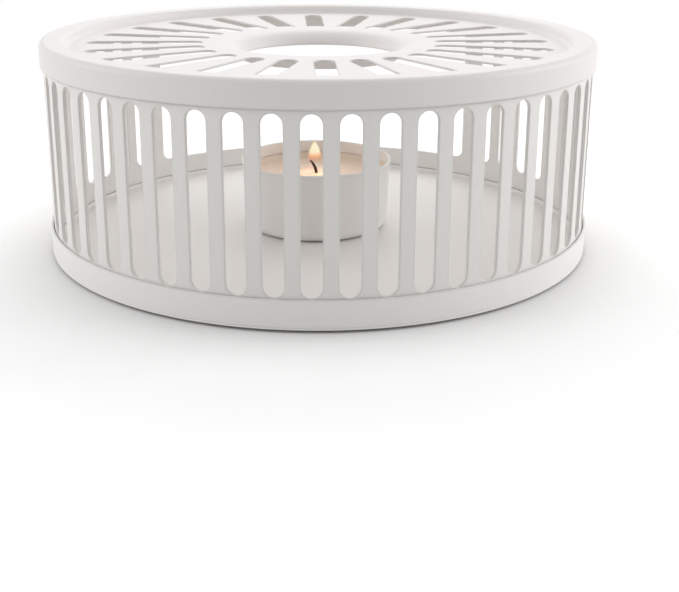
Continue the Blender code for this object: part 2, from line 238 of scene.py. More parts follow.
class WarmerSettings(PropertyGroup):
    lid: PointerProperty(type=LidSizes)
    wall: PointerProperty(type=WallSizes)
    tray: PointerProperty(type=TraySizes)
    pads: PointerProperty(type=PadSizes)
    tealight: PointerProperty(type=TealightSizes)
    finishes: PointerProperty(type=Finishes)
    studio: PointerProperty(type=Studio)


# Shader nodes


class Term:
    """A socket of a shader tree; Python's operators on it add the Math nodes."""

    def __init__(self, board, socket):
        self.board = board
        self.socket = socket

    def math(self, operation, first, second):
        return self.board.add("ShaderNodeMath", {"operation": operation}, {0: first, 1: second})

    def __add__(self, other):
        return self.math("ADD", self, other)

    def __radd__(self, other):
        return self.math("ADD", other, self)

    def __sub__(self, other):
        return self.math("SUBTRACT", self, other)

    def __rsub__(self, other):
        return self.math("SUBTRACT", other, self)

    def __mul__(self, other):
        return self.math("MULTIPLY", self, other)

    def __rmul__(self, other):
        return self.math("MULTIPLY", other, self)


class Board:
    """The node tree of a material or a world."""

    def __init__(self, owner):
        owner.use_nodes = True
        self.owner = owner
        self.tree = owner.node_tree
        self.tree.nodes.clear()

    def add(self, kind, settings=None, sockets=None, output=0):
        """Adds a node: its settings first, then the values and links of its sockets. Gives one output."""
        node = self.tree.nodes.new(kind)
        for name, value in (settings or {}).items():
            if name == "stops":
                fill_ramp(node.color_ramp, value)
            else:
                setattr(node, name, value)
        for name, value in (sockets or {}).items():
            if isinstance(value, Term):
                self.tree.links.new(value.socket, node.inputs[name])
            else:
                node.inputs[name].default_value = value
        return Term(self, node.outputs[output])

    def vector(self, operation, first, second=(0.0, 0.0, 0.0), output=0):
        return self.add("ShaderNodeVectorMath", {"operation": operation}, {0: first, 1: second}, output)

    def point(self):
        """The point of the piece, in metres."""
        return self.add("ShaderNodeTexCoord", output="Object")

    def place(self, stretch=(1.0, 1.0, 1.0)):
        """The point of the piece, stretched along its axes."""
        return self.vector("MULTIPLY", self.point(), stretch)

    def reach(self, point, middle=(0.0, 0.0, 0.0)):
        """How far a point is from a middle."""
        return self.vector("LENGTH", self.vector("SUBTRACT", point, middle), output="Value")

    def along(self, vector, axis):
        """A vector's value on one axis."""
        return self.add("ShaderNodeSeparateXYZ", {}, {0: vector}, axis)

    def openness(self, distance, samples, inside=False):
        """1 in the open and less in a corner, or with inside, 1 on a flat and less at an edge."""
        settings = {"samples": samples, "inside": inside}
        return self.add("ShaderNodeAmbientOcclusion", settings, {"Distance": distance}, "AO")

    def noise(self, place, scale, detail):
        return self.add("ShaderNodeTexNoise", {}, {"Vector": place, "Scale": scale, "Detail": detail})

    def blend(self, first, second, amount):
        """A colour between two."""
        return self.add("ShaderNodeMix", {"data_type": "RGBA"}, {0: amount, 6: first, 7: second}, output=2)

    def ramp(self, amount, stops):
        return self.add("ShaderNodeValToRGB", {"stops": stops}, {"Fac": amount})

    def span(self, amount, low, high):
        """0 at low and 1 at high, held beyond them."""
        sockets = {"Value": amount, "From Min": low, "From Max": high}
        return self.add("ShaderNodeMapRange", {"clamp": True}, sockets)

    def bump(self, height, distance, strength):
        return self.add("ShaderNodeBump", {}, {"Height": height, "Distance": distance, "Strength": strength})

    def mix(self, amount, first, second):
        return self.add("ShaderNodeMixShader", {}, {0: amount, 1: first, 2: second})

    def principled(self, sockets):
        return self.add("ShaderNodeBsdfPrincipled", {}, sockets)

    def paint(self, sockets):
        return self.finish(self.principled(sockets))

    def finish(self, shader, kind="ShaderNodeOutputMaterial"):
        """Leads the shader to the output and gives the material or world."""
        node = self.tree.nodes.new(kind)
        self.tree.links.new(shader.socket, node.inputs["Surface"])
        return self.owner


def fill_ramp(ramp, stops):
    while len(ramp.elements) < len(stops):
        ramp.elements.new(1.0)
    for element, (position, value) in zip(ramp.elements, stops):
        element.position = position
        element.color = value


def rgba(value, gain=1.0):
    return (value[0] * gain, value[1] * gain, value[2] * gain, 1.0)


def new_board(name):
    return Board(bpy.data.materials.new(name))


# Painted shade on the coating's cut edges and in the seam under the lid: how grey it is, how wide it is, and
# between which heights it sets in
COATING_PAINTED_SHADE = 0.45
EDGE_SHADE_REACH, EDGE_SHADE_HEIGHTS = 0.4 * MM, (3.0 * MM, 5.0 * MM)
SEAM_SHADE_REACH, SEAM_SHADE_HEIGHTS = 0.6 * MM, (20.0 * MM, 30.0 * MM)


def powder_coating(name, tone, roughness):
    """Satin powder coating: orange peel, fine grain and a slight cloudiness in tone and gloss.

    Occlusion paints shade on it: grey on the edges of the cuts, and a grey line in the seam under the lid.
    """
    board = new_board(name)
    # Painted shade from occlusion: on the cuts' edges, and in the seam under the lid
    edge = board.openness(EDGE_SHADE_REACH, 2, inside=True)
    seam = board.openness(SEAM_SHADE_REACH, 2)
    height = board.along(board.point(), "Z")
    painted_edge_shade = (1.0 - edge) * board.span(height, *EDGE_SHADE_HEIGHTS)
    painted_seam_shade = (1.0 - seam) * board.span(height, *SEAM_SHADE_HEIGHTS)
    place = board.place()
    peel = board.noise(place, 1500.0, 2.0)
    grain = board.noise(place, 6200.0, 1.0)
    cloud = board.noise(place, 60.0, 3.0)
    relief = peel * 0.7 + grain * 0.3
    tint = board.blend(rgba(tone, 0.985), rgba(tone, 1.012), cloud * 0.6 + peel * 0.4)
    return board.paint(
        {
            # Painted shade: the tone turns grey on the cuts' edges and in the seam under the lid
            "Base Color": board.blend(tint, rgba(tone, COATING_PAINTED_SHADE), painted_edge_shade + painted_seam_shade),
            "Roughness": roughness - 0.09 + cloud * 0.08 + peel * 0.1,
            "Normal": board.bump(relief, 0.03 * MM, 0.6),
            "Specular IOR Level": 0.45,
        }
    )


def cup_lacquer(name, tone):
    """White lacquer over thin drawn aluminium, with faint upright draw lines and handling marks."""
    board = new_board(name)
    lines = board.noise(board.place((1.0, 1.0, 0.04)), 1400.0, 2.0)
    dents = board.noise(board.place(), 130.0, 2.0)
    return board.paint(
        {
            "Base Color": board.blend(rgba(tone, 0.97), rgba(tone, 1.02), lines * 0.6 + dents * 0.4),
            "Roughness": 0.3 + lines * 0.1,
            "Normal": board.bump(lines * 0.4 + dents * 0.6, 0.05 * MM, 0.5),
        }
    )


def wax_finish(name, tone, middle, pool, radius):
    """Warm wax: glossy melt round the wick, rougher towards the cup, with a painted glow near the flame that
    stands in for its light within the wax.
    """
    board = new_board(name)
    out = board.span(board.reach(board.point(), (middle.x, middle.y, pool)), 1.0 * MM, radius)
    mottle = board.noise(board.place(), 420.0, 3.0)
    # Painted glow: emission, brightest near the wick and fading towards the cup, stands in for the flame's
    # light
    glow = [(0.0, (0.3, 0.14, 0.07, 1.0)), (0.4, (0.2, 0.09, 0.05, 1.0)), (1.0, (0.08, 0.03, 0.01, 1.0))]
    return board.paint(
        {
            "Base Color": board.blend(rgba(tone, 0.97), rgba(tone, 1.03), out * 0.6 + mottle * 0.4),
            "Roughness": 0.16 + out * 0.2 + mottle * 0.08,
            "Normal": board.bump(mottle * out, 0.06 * MM, 0.5),
            "Subsurface Weight": 0.25,
            "Subsurface Radius": (1.0, 0.5, 0.3),
            "Subsurface Scale": 2.0 * MM,
            "Emission Color": board.ramp(out, glow),
            "Emission Strength": 0.3,
        }
    )


def wick_finish(name, tone):
    """Charred braid with a grey bloom of ash on its ridges."""
    board = new_board(name)
    braid = board.add(
        "ShaderNodeTexWave",
        {"wave_type": "BANDS", "bands_direction": "DIAGONAL"},
        {"Vector": board.place(), "Scale": 900.0, "Distortion": 3.0, "Detail": 1.0},
    )
    ash = board.noise(board.place(), 4000.0, 3.0)
    return board.paint(
        {
            "Base Color": board.blend(rgba(tone), rgba(tone, 2.6), braid * ash),
            "Roughness": 0.8 + ash * 0.2,
            "Normal": board.bump(braid * 0.7 + ash * 0.3, 0.08 * MM, 0.9),
        }
    )


def silicone_finish(name, tone):
    """Translucent silicone with a matt moulded skin."""
    board = new_board(name)
    skin = board.noise(board.place(), 3000.0, 2.0)
    haze = board.noise(board.place(), 300.0, 2.0)
    return board.paint(
        {
            "Base Color": board.blend(rgba(tone, 0.96), rgba(tone, 1.04), haze),
            "Roughness": 0.46 + skin * 0.12,
            "Normal": board.bump(skin, 0.02 * MM, 0.5),
            "Subsurface Weight": 0.4,
            "Subsurface Scale": 1.0 * MM,
        }
    )


def tin_finish(name, tone, middle):
    """Tin plate, brushed in rings by the tool that pressed it."""
    board = new_board(name)
    reach = board.reach(board.place((1.0, 1.0, 0.0)), (middle.x, middle.y, 0.0))
    sockets = {"W": reach, "Scale": 9000.0, "Detail": 3.0}
    rings = board.add("ShaderNodeTexNoise", {"noise_dimensions": "1D"}, sockets)
    return board.paint(
        {
            "Base Color": board.blend(rgba(tone, 0.9), rgba(tone, 1.1), rings),
            "Metallic": 1.0,
            "Roughness": 0.3 + rings * 0.2,
            "Normal": board.bump(rings, 0.01 * MM, 0.4),
        }
    )


def flame_finish(name, top, foot, low, high, opacity):
    """A candle's flame: clear and rosy at its foot, then orange, and bright yellow-white above."""
    board = new_board(name)
    rise = board.span(board.along(board.point(), "Z"), low, high)
    flicker = board.noise(board.place((1.0, 1.0, 0.4)), 500.0, 1.0)
    glow = [(0.0, rgba(foot, 0.8)), (0.22, rgba(foot)), (0.5, rgba(top, 0.95)), (0.8, rgba(top))]
    glow.append((1.0, rgba(top, 0.92)))
    cover = rgba(WHITE, opacity)
    return board.paint(
        {
            "Base Color": (0.0, 0.0, 0.0, 1.0),
            "Roughness": 1.0,
            "Specular IOR Level": 0.0,
            "Emission Color": board.ramp(rise + (flicker - 0.5) * 0.08, glow),
            "Emission Strength": 1.0,
            "Alpha": board.ramp(rise, [(0.0, rgba(WHITE, 0.05)), (0.3, cover), (1.0, cover)]),
        }
    )


def seen_rays(board):
    """1 for rays of a picture, a reflection or a view through glass, and 0 for light that bounces."""
    seen = board.add("ShaderNodeLightPath", output="Is Camera Ray")
    for kind in ("Is Glossy Ray", "Is Transmission Ray"):
        seen = seen.math("MAXIMUM", seen, board.add("ShaderNodeLightPath", output=kind))
    return seen


def floor_finish(name, studio):
    """White paper; a picture shows it whiter than it lights the warmer, with a painted contact shadow round
    the tray, and plain white far off.
    """
    board = new_board(name)
    fibre = board.noise(board.place(), 900.0, 3.0)
    # Painted shadow: occlusion darkens the paper that pictures show near the tray
    open_air = board.openness(studio.contact_reach, 4)

    def paper(tint):
        return board.principled({"Base Color": tint, "Roughness": 0.9, "Specular IOR Level": 0.0})

    lighting = paper(board.blend(rgba(studio.floor, 0.995), rgba(studio.floor), fibre))
    dark = rgba(WHITE, studio.floor_gain * (1.0 - studio.contact_shade))
    near = paper(board.blend(dark, rgba(WHITE, studio.floor_gain), open_air - fibre * 0.005))
    far = board.add("ShaderNodeEmission", {}, {"Color": WHITE, "Strength": 1.0})
    distance = board.span(board.reach(board.point()), studio.floor_near, studio.floor_far)
    return board.finish(board.mix(seen_rays(board), lighting, board.mix(distance, near, far)))


def room_world(name, studio):
    """A room whose sides light the warmer at their own levels; a picture sees it plain white."""
    board = Board(bpy.data.worlds.new(name))
    way = board.add("ShaderNodeTexCoord", output="Generated")
    levels = None
    for axis, ahead, behind in (
        ("X", studio.room_right, studio.room_left),
        ("Y", studio.room_back, studio.room_front),
        ("Z", studio.room_above, 0.0),
    ):
        value = board.along(way, axis)
        level = value.math("MAXIMUM", value, 0.0) * ahead + value.math("MAXIMUM", 0.0 - value, 0.0) * behind
        levels = level if levels is None else levels + level

    def background(strength):
        return board.add("ShaderNodeBackground", {}, {"Color": WHITE, "Strength": strength})

    room = board.mix(levels, background(0.0), background(studio.room_light))
    return board.finish(board.mix(seen_rays(board), room, background(1.0)), "ShaderNodeOutputWorld")


# Mesh code

PIECE_STEPS, FLAME_STEPS = 144, 32
BEND_STEPS, EDGE_STEPS, CUT_STEPS, LIP_STEPS, CAP_STEPS = 8, 4, 3, 12, 6
# Steps round the two ends and along the sides of a slot
LID_SLOT_STEPS = (20, 16)
WALL_SLOT_STEPS = (16, 14)
WINDOW_FLAT_STEPS = 96
# How far the rings round a cut lie towards the border of its cell
SLOT_LANDS = (1.0, 0.5)
WINDOW_LANDS = [1 - step / 10 for step in range(10)]


def spread(start, end, steps):
    """Values in even steps from one to another, both included."""
    return [start + (end - start) * step / steps for step in range(steps + 1)]


def on_arc(centre, radius, angle):
    """A point of an arc of a profile, at an angle in degrees that runs from outwards to upwards."""
    angle = math.radians(angle)
    return (centre[0] + radius * math.cos(angle), centre[1] + radius * math.sin(angle))


def arc(centre, radius, start, end, steps):
    return [on_arc(centre, radius, angle) for angle in spread(start, end, steps)]


def on_drum(radius, angle, height):
    """A point at an angle from the front, counted towards the right."""
    return Vector((radius * math.sin(angle), -radius * math.cos(angle), height))


def join_loops(form, first, second):
    """Faces between two closed loops of matching points, or between a loop and a tip."""
    number = max(len(first), len(second))
    for here in range(number):
        there = (here + 1) % number
        corners = [first[here % len(first)], first[there % len(first)]]
        corners += [second[there % len(second)], second[here % len(second)]]
        form.faces.new(list(dict.fromkeys(corners)))


def turn_profile(form, profile, steps, middle=(0.0, 0.0), start=0.0):
    """A profile of radii and heights turned round an upright axis; a radius of 0 makes a tip."""
    centre = Vector((middle[0], middle[1], 0.0))
    rings = []
    for radius, height in profile:
        turns = 1 if radius < WELD else steps
        angles = [start + math.tau * step / steps for step in range(turns)]
        rings.append([form.verts.new(centre + on_drum(radius, angle, height)) for angle in angles])
    for first, second in zip(rings, rings[1:]):
        join_loops(form, first, second)


def cut_outline(reach_up, reach_across, radius, end_steps, side_steps, flat_steps=0):
    """Points round a cut with rounded corners, (along, across), which starts low on its left upper corner.

    reach_up and reach_across are the places of the corners' centres. A slot has reach_across 0 and no flat.
    """
    inner = spread(-reach_across, reach_across, flat_steps)[1:-1] if flat_steps else []
    points = []
    for side in (1, -1):
        corner = arc((reach_up, reach_across), radius, 0, 90, end_steps // 2)
        left = [(along, -across) for along, across in reversed(corner)]
        flat = [(reach_up + radius, across) for across in inner]
        right = corner if flat_steps else corner[1:]
        down = [(along, reach_across + radius) for along in spread(reach_up, -reach_up, side_steps)[1:-1]]
        points += [(side * along, side * across) for along, across in left + flat + right + down]
    return points


def cell_border(reach_up, low, high, end_steps, side_steps, flat_shares=()):
    """Points round a cut's cell that match those of its outline: (along, share of half the cell's width)."""
    quarter = end_steps // 4
    inner = flat_shares[0] if flat_shares else 0.0
    points = []
    for side, top in ((1, high), (-1, -low)):
        up = [(along, -1.0) for along in spread(reach_up, top, quarter)[:-1]]
        start, end = spread(-1.0, inner, quarter)[:-1], spread(-inner, 1.0, quarter)[:-1]
        head = [(top, across) for across in (*start, *flat_shares[:-1], *end)]
        heights = spread(top, reach_up, quarter) + spread(reach_up, -reach_up, side_steps)[1:-1]
        down = [(along, 1.0) for along in heights]
        points += [(side * along, side * across) for along, across in up + head + down]
    return points


def edge_section(sheet, edge):
    """(distance from the cut, depth) down a cut whose two edges are rounded."""
    angles = [math.radians(angle) for angle in spread(0, 90, CUT_STEPS)]
    upper = [(edge * (1 - math.sin(angle)), edge * (1 - math.cos(angle))) for angle in angles]
    return upper + [(away, sheet - depth) for away, depth in reversed(upper)]


def sheet_cell(form, outline_at, border, cut_point, border_point, sheet, edge, lands, to_drum=Vector):
    """One cell of a sheet with a cut in it: both faces, the rounded edges and the cut's wall.

    cut_point and border_point give the sheet's own coordinates of a point at a depth, and to_drum the place.
    """
    support = 2.0 * edge
    sections = [(support, 0.0, land) for land in lands] + [(support, 0.0, 0.0)]
    sections += [(away, depth, 0.0) for away, depth in edge_section(sheet, edge)]
    sections += [(support, sheet, 0.0)] + [(support, sheet, land) for land in reversed(lands)]
    loops = []
    for away, depth, land in sections:
        loop = []
        for inner, outer in zip(outline_at(away), border):
            point = Vector(cut_point(inner, depth)).lerp(Vector(border_point(outer, depth)), land)
            loop.append(form.verts.new(to_drum(point)))
        loops.append(loop)
    for first, second in zip(loops, loops[1:]):
        join_loops(form, first, second)
    return loops[0], loops[-1]


def new_item(name, data):
    item = bpy.data.objects.new(name, data)
    bpy.context.scene.collection.objects.link(item)
    return item


def mesh_item(name, form, material):
    mesh = bpy.data.meshes.new(name)
    form.to_mesh(mesh)
    form.free()
    mesh.materials.append(material)
    return new_item(name, mesh)


def new_piece(name, form, body, nodes, material):
    """Makes a piece of a form, checks that it is closed, and hands it to the frame."""
    bmesh.ops.remove_doubles(form, verts=form.verts, dist=WELD)
    bmesh.ops.recalc_face_normals(form, faces=form.faces)
    if any(len(edge.link_faces) != 2 for edge in form.edges):
        raise RuntimeError(f"{name} isn't one closed surface")
    for face in form.faces:
        face.smooth = True
    item = mesh_item(name, form, material)
    item.modifiers.new("Even shading", "WEIGHTED_NORMAL")
    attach(item, body)
    if nodes:
        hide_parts(*nodes)
    return item


def pool_height(sizes):
    """The height of the melt pool in the wax."""
    return CUP_LOW.z + sizes.cup_height - sizes.wax_depth - sizes.pool_depth


# Pieces


class TEAPOTWARMER_OT_lid(Operator):
    """Make the pressed lid with its flared mouth, radial slots, raised rim and skirt"""

    bl_idname = "teapot_warmer.lid"
    bl_label = "Lid"

    def execute(self, context):
        settings = context.scene.teapot_warmer
        sizes, finishes = settings.lid, settings.finishes
        form = bmesh.new()
        sheet = sizes.sheet
        plate = sizes.crest - sizes.recess
        step = sizes.recess / 2
        plate_radius = sizes.radius - sizes.rim_bend - sizes.rim_crest - sizes.recess
        mouth_radius = sizes.hole_radius + sizes.mouth_bend * math.sin(sizes.mouth_turn)
        land = (sizes.slot_start - mouth_radius) / 2
        inner = sizes.slot_start - land
        outer = sizes.slot_end + (plate_radius - sizes.slot_end) / 2
        middle = (sizes.slot_start + sizes.slot_end) / 2
        radius = sizes.slot_width / 2
        reach = (sizes.slot_end - sizes.slot_start) / 2 - radius
        half_cell = math.pi / sizes.slots
        border = cell_border(reach, inner - middle, outer - middle, *LID_SLOT_STEPS)

        def outline_at(away):
            return cut_outline(reach, 0.0, radius + away, *LID_SLOT_STEPS)

        for index in range(sizes.slots):
            angle = math.tau * index / sizes.slots
            ahead = on_drum(1.0, angle, 0.0)
            aside = Vector((-ahead.y, ahead.x, 0.0))

            def cut_point(point, depth, ahead=ahead, aside=aside):
                return ahead * (middle + point[0]) + aside * point[1] + Vector((0.0, 0.0, plate - depth))

            def border_point(point, depth, angle=angle):
                return on_drum(middle + point[0], angle + point[1] * half_cell, plate - depth)

            sheet_cell(form, outline_at, border, cut_point, border_point, sheet, sizes.edge, SLOT_LANDS)

        steps = sizes.slots * LID_SLOT_STEPS[0] // 2
        bend = (sizes.radius - sizes.rim_bend, sizes.crest - sizes.rim_bend)
        foot = (plate_radius, plate + step)
        head = (plate_radius + sizes.recess, sizes.crest - step)
        rounding = sizes.edge
        skirt_in = sizes.radius - sheet
        outside = [(outer, plate), (plate_radius, plate)]
        outside += arc(foot, step, -90, 0, BEND_STEPS)[1:] + arc(head, step, 180, 90, BEND_STEPS)[1:]
        outside += arc(bend, sizes.rim_bend, 90, 0, BEND_STEPS)
        outside += arc((sizes.radius - rounding, sizes.skirt_edge + rounding), rounding, 0, -90, CUT_STEPS)
        outside += arc((skirt_in + rounding, sizes.skirt_edge + rounding), rounding, -90, -180, CUT_STEPS)
        outside += arc(bend, sizes.rim_bend - sheet, 0, 90, BEND_STEPS)
        outside += arc(head, step - sheet, 90, 180, BEND_STEPS)
        outside += arc(foot, step + sheet, 0, -90, BEND_STEPS)[1:] + [(outer, plate - sheet)]
        turn_profile(form, outside, steps, start=-half_cell)

        mouth = (mouth_radius, plate - sizes.mouth_bend)
        cap = sheet / 2
        mean = sizes.mouth_bend - cap
        stop = 90 + math.degrees(sizes.mouth_turn - cap / mean)
        inside = [(inner, plate)] + arc(mouth, sizes.mouth_bend, 90, stop, 2 * BEND_STEPS)
        inside += arc(on_arc(mouth, mean, stop), cap, stop, stop + 180, CAP_STEPS)[1:-1]
        inside += arc(mouth, sizes.mouth_bend - sheet, stop, 90, 2 * BEND_STEPS) + [(inner, plate - sheet)]
        turn_profile(form, inside, steps, start=-half_cell)

        # The lid's tone holds painted shade as well as its own tint
        material = powder_coating("white_coating_on_lid", finishes.lid_tone_and_shade, finishes.roughness)
        new_piece("lid_sheet", form, "drum", ["lid"], material)
        return {"FINISHED"}


class TEAPOTWARMER_OT_wall(Operator):
    """Make the rolled wall with its upright slots and the window at the back"""

    bl_idname = "teapot_warmer.wall"
    bl_label = "Slotted wall"

    def execute(self, context):
        settings = context.scene.teapot_warmer
        sizes, finishes = settings.wall, settings.finishes
        form = bmesh.new()
        middle = (sizes.slot_foot + sizes.slot_head) / 2
        pitch = math.tau / sizes.pitches
        radius = sizes.slot_width / 2
        reach = (sizes.slot_head - sizes.slot_foot) / 2 - radius
        low, high = sizes.bottom - middle, sizes.top - middle

        def to_drum(point):
            return on_drum(*point)

        def make_cell(centre, half_width, outline_at, border, lands):
            def cut_point(point, depth):
                around = sizes.radius - depth
                return (around, centre + math.asin(point[1] / around), middle + point[0])

            def border_point(point, depth):
                return (sizes.radius - depth, centre + point[1] * half_width, middle + point[0])

            points = (outline_at, border, cut_point, border_point)
            first, last = sheet_cell(form, *points, sizes.sheet, sizes.edge, lands, to_drum)
            for here in range(len(border)):
                there = (here + 1) % len(border)
                for level in (low, high):
                    if abs(border[here][0] - level) < WELD and abs(border[there][0] - level) < WELD:
                        form.faces.new([first[here], first[there], last[there], last[here]])

        def slot_outline(away):
            return cut_outline(reach, 0.0, radius + away, *WALL_SLOT_STEPS)

        slot_border = cell_border(reach, low, high, *WALL_SLOT_STEPS)
        for index in range(sizes.slot_pairs):
            for side in (-1, 1):
                place = side * pitch * (index + 0.5)
                make_cell(place, pitch / 2, slot_outline, slot_border, SLOT_LANDS)

        corner = sizes.window_corner
        across = sizes.window_half_width - corner
        reach_up = (sizes.slot_head - sizes.slot_foot) / 2 - corner
        half_window = math.pi - pitch * sizes.slot_pairs
        flat = math.asin(across / sizes.radius) / half_window
        shares = [flat * (2 * step / WINDOW_FLAT_STEPS - 1) for step in range(WINDOW_FLAT_STEPS + 1)]
        window_border = cell_border(reach, low, high, *WALL_SLOT_STEPS, shares)

        def window_outline(away):
            return cut_outline(reach_up, across, corner + away, *WALL_SLOT_STEPS, WINDOW_FLAT_STEPS)

        make_cell(math.pi, half_window, window_outline, window_border, WINDOW_LANDS)
        material = powder_coating("white_coating_on_wall", finishes.coating, finishes.roughness)
        new_piece("wall_sheet", form, "drum", ["slotted_wall"], material)
        return {"FINISHED"}


class TEAPOTWARMER_OT_tray(Operator):
    """Make the pressed tray with its upturned rim"""

    bl_idname = "teapot_warmer.tray"
    bl_label = "Tray"

    def execute(self, context):
        settings = context.scene.teapot_warmer
        sizes, finishes = settings.tray, settings.finishes
        form = bmesh.new()
        outer, inner = sizes.radius, sizes.radius - sizes.sheet
        under, floor = sizes.underside, sizes.underside + sizes.sheet
        edge = sizes.edge
        bend = (inner - sizes.bend, floor + sizes.bend)
        seam = under + sizes.seam_height
        seam_top = seam + sizes.seam_width
        seam_edge = edge / 2
        profile = [(0.0, under)] + arc((outer - edge, under + edge), edge, -90, 0, EDGE_STEPS)
        profile += arc((outer - seam_edge, seam - seam_edge), seam_edge, 0, 90, EDGE_STEPS // 2)
        profile += [(outer - sizes.seam_depth, seam), (outer - sizes.seam_depth, seam_top)]
        profile += arc((outer - seam_edge, seam_top + seam_edge), seam_edge, -90, 0, EDGE_STEPS // 2)
        profile += arc((outer - edge, sizes.rim_top - edge), edge, 0, 90, EDGE_STEPS)
        profile += arc((inner + edge, sizes.rim_top - edge), edge, 90, 180, EDGE_STEPS)
        profile += arc(bend, sizes.bend, 0, -90, BEND_STEPS)
        fillet = (sizes.wall_inside - sizes.fillet, floor + sizes.fillet)
        profile += [(sizes.wall_inside + sizes.wall_slope, floor), (sizes.wall_inside, fillet[1])]
        profile += arc(fillet, sizes.fillet, 0, -90, BEND_STEPS)[1:]
        profile += [(sizes.wall_inside - 3 * sizes.fillet, floor), (0.0, floor)]
        turn_profile(form, profile, 2 * PIECE_STEPS)
        # The tray's tone holds painted light as well as its own tone
        material = powder_coating("white_coating_on_tray", finishes.tray_tone_and_light, finishes.roughness)
        new_piece("tray_sheet", form, "drum", ["base_tray"], material)
        return {"FINISHED"}


class TEAPOTWARMER_OT_pads(Operator):
    """Make the soft pads under the tray"""

    bl_idname = "teapot_warmer.pads"
    bl_label = "Pads"

    def execute(self, context):
        settings = context.scene.teapot_warmer
        sizes, finishes = settings.pads, settings.finishes
        material = silicone_finish("pad_silicone", finishes.silicone)
        edge, flat = sizes.edge, sizes.radius * 0.8
        profile = [(0.0, 0.0), (flat, 0.0)] + arc((sizes.radius - edge, edge), edge, -90, 0, EDGE_STEPS)
        profile += arc((sizes.radius - edge, sizes.thickness - edge), edge, 0, 90, EDGE_STEPS)
        profile += [(flat, sizes.thickness), (0.0, sizes.thickness)]
        for index in range(sizes.number):
            form = bmesh.new()
            middle = on_drum(sizes.circle, math.tau * (index + 0.5) / sizes.number, 0.0)
            turn_profile(form, profile, PIECE_STEPS // 2, middle)
            new_piece(f"pad_{index + 1}", form, "drum", [f"foot_{index + 1}"], material)
        return {"FINISHED"}


class TEAPOTWARMER_OT_cup(Operator):
    """Make the tealight's thin cup with its rolled lip"""

    bl_idname = "teapot_warmer.cup"
    bl_label = "Tealight cup"

    def execute(self, context):
        settings = context.scene.teapot_warmer
        sizes, finishes = settings.tealight, settings.finishes
        form = bmesh.new()
        side = sizes.cup_radius - sizes.lip_radius
        corner = (side - sizes.cup_taper - sizes.cup_bend, sizes.cup_bend)
        lip = (side, sizes.cup_height - sizes.lip_radius)
        profile = [(0.0, sizes.cup_sheet)]
        profile += arc(corner, sizes.cup_bend - sizes.cup_sheet, -90, 0, BEND_STEPS)
        profile += arc(lip, sizes.lip_radius, 180, -90, LIP_STEPS)
        profile += arc(corner, sizes.cup_bend, 0, -90, BEND_STEPS) + [(0.0, 0.0)]
        profile = [(radius, CUP_LOW.z + height) for radius, height in profile]
        turn_profile(form, profile, PIECE_STEPS, CUP_MIDDLE)
        material = cup_lacquer("cup_lacquer", finishes.cup)
        new_piece("cup_shell", form, "tealight", ["tealight_cup"], material)
        return {"FINISHED"}


# The wax round the wick is calmer than beyond this distance
WAX_CALM = 8 * MM


class TEAPOTWARMER_OT_wax(Operator):
    """Make the wax with its melt pool"""

    bl_idname = "teapot_warmer.wax"
    bl_label = "Wax"

    def execute(self, context):
        settings = context.scene.teapot_warmer
        sizes, finishes = settings.tealight, settings.finishes
        form = bmesh.new()
        floor = CUP_LOW.z + sizes.cup_sheet + sizes.wax_gap
        pool = pool_height(sizes)
        side = sizes.cup_radius - sizes.lip_radius - sizes.cup_sheet - sizes.wax_gap
        rise = (sizes.cup_height - sizes.wax_depth - sizes.cup_bend) / (sizes.cup_height - sizes.cup_bend)
        edge = side - sizes.cup_taper * (1 - rise)
        bend = sizes.cup_bend - sizes.cup_sheet
        corner = (side - sizes.cup_taper - bend, floor + bend)
        shore = (edge - sizes.pool_depth, pool + sizes.pool_depth)
        climb = [(0.0, 0.25 * MM), (sizes.wick_radius, 0.25 * MM), (1.0 * MM, 0.06 * MM)]
        profile = [(radius, pool + height) for radius, height in climb]
        profile += [(step * MM, pool) for step in range(2, 16)]
        profile += arc(shore, sizes.pool_depth, -90, 0, 2 * BEND_STEPS)
        profile += arc(corner, bend, 0, -90, BEND_STEPS) + [(0.0, floor)]
        turn_profile(form, profile, PIECE_STEPS, CUP_MIDDLE)
        for vert in form.verts:
            if vert.co.z > pool - 0.1 * MM:
                waves = random_field.noise(vert.co * 180.0) * 0.12
                ripples = random_field.noise(vert.co * 700.0) * 0.03
                away = (vert.co.xy - CUP_MIDDLE.xy).length
                vert.co.z += (waves + ripples) * MM * min(away / WAX_CALM, 1.0)
        material = wax_finish("candle_wax", finishes.wax, CUP_MIDDLE, pool, edge)
        new_piece("wax_body", form, "tealight", ["tealight_wax"], material)
        return {"FINISHED"}


# The wick's tip: how much thinner it is, and how far it is pointed; and the braid's turn at each step
WICK_THINNING = 0.35
WICK_POINT = 0.08 * MM
BRAID_TWIST = 1.3


